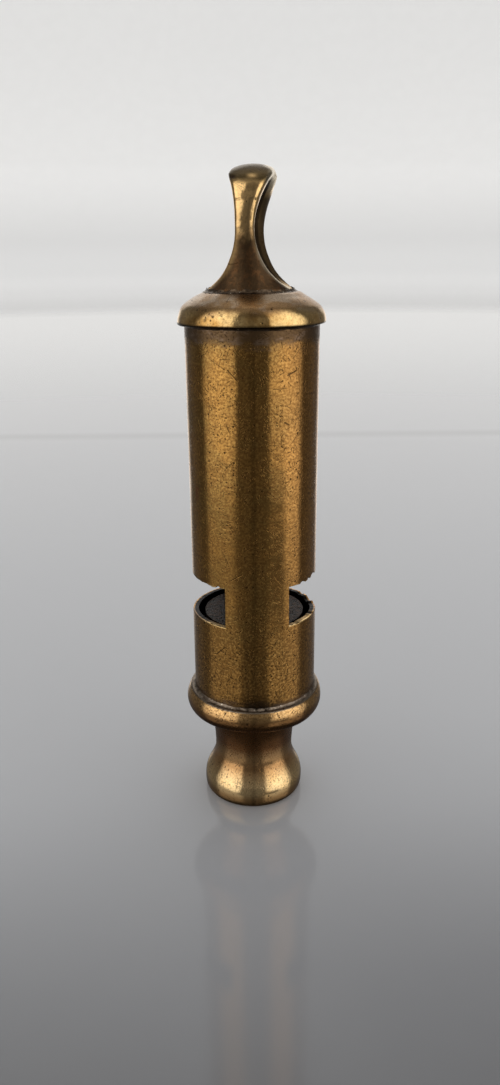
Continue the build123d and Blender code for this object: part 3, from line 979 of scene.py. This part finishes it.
def loop_casting():
    reach = FOOT_R + 0.3
    verts, faces = skin(
        loop_field, (-reach, -reach, LOOP_SEAT - 0.3), (reach, reach, LOOP_TOP + 0.3), 0.125
    )
    x, y, z = verts.T.copy()
    eye = eye_reach(y, z)
    turned_away = (x - loop_sway(z)) / slab_half(z)
    across = np.abs(turned_away)
    front = smooth(0.5, -0.5, y)
    # Masks for painted shade: the eye's inner walls, and the back of the right face below the crown.
    near_wall = smooth(1.22, 1.06, eye) * smooth(0.80, 0.60, across)
    far_wall = smooth(1.45, 1.20, eye) * smooth(0.98, 0.85, across)
    inside = np.maximum(near_wall, far_wall * (1 - front))
    # Painted reflection along the eye's edge, and painted highlights on the crown's cheek and the foot's
    # side.
    eye_rim_reflection = smooth(1.78, 1.56, eye) * smooth(0.36, 0.60, turned_away) * front
    cheek_highlight = smooth(0.55, 0.9, turned_away) * smooth(77.2, 78.2, z)
    eye_rim_reflection = np.maximum(eye_rim_reflection, cheek_highlight * smooth(LOOP_TOP - 0.3, LOOP_TOP - 0.9, z))
    toe_highlight = smooth(0.75, 0.95, turned_away) * smooth(69.6, 68.4, z)
    toe_highlight *= smooth(LOOP_SEAT + 0.3, LOOP_SEAT + 0.9, z) * smooth(1.2, 0.0, y)
    eye_rim_reflection = np.maximum(eye_rim_reflection, 0.5 * toe_highlight)
    beyond = smooth(0.2, 1.2, y) * smooth(0.1, 0.5, turned_away)
    inside = np.maximum(inside, 0.93 * beyond * smooth(78.0, 76.8, z))
    eye_edge = smooth(1.75, 1.35, eye)
    rough = 0.012 * wave_noise(verts, 1.1, 41, 3) + 0.02 * wave_noise(verts, 3.5, 42, 2)
    verts[:, :2] *= (1 + (rough * smooth(LOOP_SEAT, LOOP_SEAT + 1, z))[:, None] / 3)
    piece = finish_piece("cast_loop", verts, faces, "suspension_loop", brass_loop, sharp=60)
    for name, values in (("inside", inside), ("eye_rim_reflection", eye_rim_reflection), ("eye_edge", eye_edge)):
        store(piece, name, values)
    return piece


loop_casting()


# ------------ solder
def solder_ring(name, node, wall_r, height, leg, up, ragged, seed, aside=0.0):
    """Lumpy ring of solder in the corner of a wall and a ledge; up is -1 below the ledge."""
    face = between((wall_r + leg, height), (wall_r, height + leg), 1.5 * leg, step=0.07)
    # Turned round its chord's middle, the bulge becomes a hollow.
    face = np.array([2 * wall_r + leg, 2 * height + leg]) - face[::-1]
    if up < 0:
        face[:, 1] = 2 * height - face[:, 1]
        face = face[::-1]
    corner = (wall_r, height)
    closed = [face, run(tuple(face[-1]), corner, step=0.1), run(corner, tuple(face[0]), step=0.1)]

    def shape(angle, r, z):
        ring = round_points(r, angle, z)
        lumps = wave_noise(ring, 0.8, seed, 3)
        swell = wave_noise(ring, 3.0, seed + 1, 2)
        size = 1 + ragged * (lumps + 0.6 * swell)
        return wall_r + (r - wall_r) * size, height + (z - height) * size, np.full_like(r, aside)

    return turned(name, outline(*closed, soften=0), 300, shape, node, solder)


solder_ring("collar_seam", "collar_solder", SEAT_R, COLLAR_TOP, leg=0.32, up=1, ragged=0.22, seed=51)
solder_ring("cap_seam", "cap_solder", TUBE_R, CAP_UNDER, leg=0.28, up=-1, ragged=0.2, seed=61)
foot = (FOOT_R - 0.03, LOOP_SEAT - 0.02)
solder_ring("foot_seam", "loop_solder", *foot, leg=0.38, up=1, ragged=0.38, seed=71, aside=LOOP_ASIDE)

# ------------ CAD nodes that stay
for node_name, metal in (
    ("windway_plug", plug_metal()),
    ("chamber_divider", inner_metal()),
    ("chamber_stop", inner_metal()),
):
    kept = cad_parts[node_name]
    kept.data.materials.clear()
    kept.data.materials.append(metal)


# ------------ floor and backdrop
# Sizes in metres, colours from the object outwards.
FLOOR_R = 0.9
CURVE_R = 0.6
WALL_HIGH = 2.0
FLOOR_NEAR = (0.304, 0.311, 0.329)
FLOOR_PAINTED_SHADOW = (0.030, 0.031, 0.034)
FLOOR_MIDDLE = (0.202, 0.209, 0.223)
FLOOR_RING = (0.290, 0.296, 0.308)
FLOOR_LINE = (0.130, 0.134, 0.141)
FLOOR_FAR = (0.284, 0.290, 0.300)
FLOOR_SHADE = (0.02, 0.022, 0.03)
WALL_PALE = (0.600, 0.602, 0.605)
MOTTLE = (0.3, 0.3, 0.3)


def studio_bowl():
    """Pale floor that curves up into a wall on every side, far from the object."""
    profile = [(0.1, 0.0), (0.3, 0.0), (FLOOR_R, 0.0)]
    for i in range(1, 13):
        a = math.radians(90 * i / 12)
        profile.append((FLOOR_R + CURVE_R * math.sin(a), CURVE_R - CURVE_R * math.cos(a)))
    profile.append((FLOOR_R + CURVE_R, WALL_HIGH))
    around = 96
    turns = [2 * math.pi * i / around for i in range(around)]
    verts = [(0, 0, 0)] + [(r * math.cos(a), r * math.sin(a), z) for r, z in profile for a in turns]
    faces = []
    for i in range(around):
        j = (i + 1) % around
        faces.append((0, 1 + i, 1 + j))
        for low in range(1, 1 + around * (len(profile) - 1), around):
            high = low + around
            faces.append((low + i, high + i, high + j, low + j))
    mesh = bpy.data.meshes.new("studio")
    mesh.from_pydata(verts, [], faces)
    mesh.shade_smooth()
    bowl = add_object("studio", mesh)
    paint, g = material("pale_paper")
    here = Place(g)
    # Painted shadow in front of the object and painted shade at its right, with a faint line across behind
    # it.
    aside = g.math("ABSOLUTE", here.x)
    dim = g.times(g.step(here.y, -2.0, -72.0), g.step(here.y, -150.0, -80.0), g.step(aside, 95.0, 40.0))
    colour = g.mix(dim, FLOOR_NEAR, FLOOR_PAINTED_SHADOW)
    colour = g.mix(g.step(here.y, 0.0, 420.0), colour, FLOOR_MIDDLE)
    colour = g.mix(g.times(g.step(here.radius, 222.0, 245.0), 0.25), colour, FLOOR_RING)
    colour = g.mix(g.times(g.bell(here.y, 232.0, 10.0), 0.5), colour, FLOOR_LINE)
    colour = g.mix(g.step(here.radius, 300.0, 900.0), colour, FLOOR_FAR)
    colour = g.mix(g.step(here.z, 0.0, 220.0), colour, WALL_PALE)
    # Painted shade on the floor at the object's right.
    right = g.times(g.step(here.x, -15.0, 35.0), g.step(here.y, 20.0, -40.0))
    colour = g.mix(g.times(right, 0.30), colour, FLOOR_SHADE)
    mottle = g.noise(here.point, 0.05, 3.0)
    colour = g.mix(g.times(g.step(mottle, 0.3, 0.7), 0.04), colour, MOTTLE)
    # The wall glows a little, most where it starts to rise, so that it looks evenly lit.
    glow = g.times(g.step(here.z, -10.0, 36.0), 0.365)
    glow = g.add(glow, g.times(g.bell(here.z, 45.0, 45.0), 0.08))
    inputs = {"Base Color": colour, "Roughness": 0.10, "IOR": 1.65, "Emission Strength": glow}
    inputs["Emission Color"] = (1.0, 0.99, 0.97, 1.0)
    g.end(g.node("ShaderNodeBsdfPrincipled", inputs))
    mesh.materials.append(paint)
    # The studio's walls are off camera: reflections and lamps come from the light round it.
    bowl.visible_glossy = False
    bowl.visible_shadow = False


studio_bowl()


# ------------ light
def surround():
    """Soft light from all round: a tall panel on each side of the front, one behind, dark between."""
    world = bpy.data.worlds.new("surround")
    bpy.context.scene.world = world
    world.use_nodes = True
    g = Graph(world.node_tree)
    direction = g.node("ShaderNodeTexCoord").outputs["Generated"]
    unit = g.node("ShaderNodeVectorMath", {0: direction}, operation="NORMALIZE")
    x, y, z = g.node("ShaderNodeSeparateXYZ", {"Vector": unit.outputs[0]}).outputs
    degree = 180 / math.pi
    azimuth = g.times(g.math("ARCTAN2", x, g.times(y, -1.0)), degree)
    elevation = g.times(g.math("ARCSINE", z), degree)
    off_front = g.math("ABSOLUTE", azimuth)
    to_right = g.math("GREATER_THAN", azimuth, 0.0)

    def panel(inner, outer, soft_in, soft_out):
        """1 between two angles from the front, on both sides, each edge with its own softness."""
        return g.times(
            g.step(off_front, inner - soft_in, inner + soft_in),
            g.step(off_front, outer + soft_out, outer - soft_out),
        )

    # The two panels, brightest above the horizon, and what the object sees of them below it.
    upper = g.times(panel(29, 90, 4, 8), g.step(elevation, -21, -9), g.step(elevation, 75, 45))
    upper = g.times(upper, g.blend(g.bell(off_front, 59, 40), 0.6, 1.0))
    upper = g.times(upper, g.blend(g.step(elevation, -8, 8), 1.0, 1.28))
    fades = g.times(g.step(elevation, -27, -22), g.step(elevation, -9, -16))
    middle = g.blend(to_right, g.times(panel(36, 89, 7, 8), 0.25), g.times(panel(58, 88, 7, 7), 0.56))
    ground = g.times(panel(26, 92, 6, 9), g.step(elevation, -22, -28))
    ground = g.times(ground, g.blend(to_right, 0.26, 0.36), g.step(elevation, -52, -35))
    behind = g.times(g.step(off_front, 145, 160), g.step(elevation, -30, -14), g.step(elevation, 48, 28))
    # A thin dark line straight in front, where the two halves of the light meet.
    seam = g.times(g.step(off_front, 7, 2), -0.045)
    over_front = g.times(g.step(off_front, 42, 26), g.step(elevation, 0, 10), g.step(elevation, 46, 30))
    strength = g.add(
        0.10,
        seam,
        g.times(over_front, 0.05),
        g.times(g.step(off_front, 40, 24), 0.012),
        g.times(g.step(off_front, 96, 125), g.step(elevation, -35, -25), 0.03),
        g.times(g.step(elevation, -38, -52), -0.06),
        upper,
        g.times(middle, fades),
        ground,
        g.times(behind, 0.92),
        # Light from high up, behind and overhead.
        g.times(g.step(off_front, 100, 150), g.step(elevation, 35, 60), 0.35),
        g.times(g.step(elevation, 50, 88), 0.26),
    )
    background = g.node("ShaderNodeBackground", {"Color": (1.0, 0.985, 0.96, 1.0), "Strength": strength})
    g.end(background, "ShaderNodeOutputWorld")


surround()

LAMP_PLACE = Vector((0.1, 0.25, 0.9))
lamp_data = bpy.data.lights.new("overhead", "AREA")
lamp_data.shape = "DISK"
lamp_data.size = 0.8
lamp_data.energy = 2.8
lamp = add_object("overhead", lamp_data)
lamp.location = LAMP_PLACE
lamp.rotation_euler = (-LAMP_PLACE).to_track_quat("-Z", "Y").to_euler()
lamp.visible_glossy = False

# ------------ camera
# Place in tube radii: left of the axis, in front of it and above the sills.
CAMERA_LEFT = 0.0593
CAMERA_BACK = 12.5457
CAMERA_UP = 5.548
PITCH_DOWN = math.radians(19.565)
ROLL = math.radians(-0.5367)
camera_data = bpy.data.cameras.new("camera")
camera = add_object("camera", camera_data)
bpy.context.scene.camera = camera
camera_data.sensor_fit = "AUTO"
camera_data.sensor_width = 36.0
camera_data.lens = 27.456
camera_data.clip_start = 0.005
camera_data.clip_end = 20.0
camera_place = Vector((-CAMERA_LEFT * TUBE_R, -CAMERA_BACK * TUBE_R, SILL + CAMERA_UP * TUBE_R)) * MM
camera.matrix_world = (
    Matrix.Translation(camera_place)
    @ Matrix.Rotation(math.pi / 2 - PITCH_DOWN, 4, "X")
    @ Matrix.Rotation(ROLL, 4, "Z")
)

bpy.context.scene.view_settings.view_transform = "Standard"
bpy.context.scene.view_settings.look = "None"

bpy.context.view_layer.update()
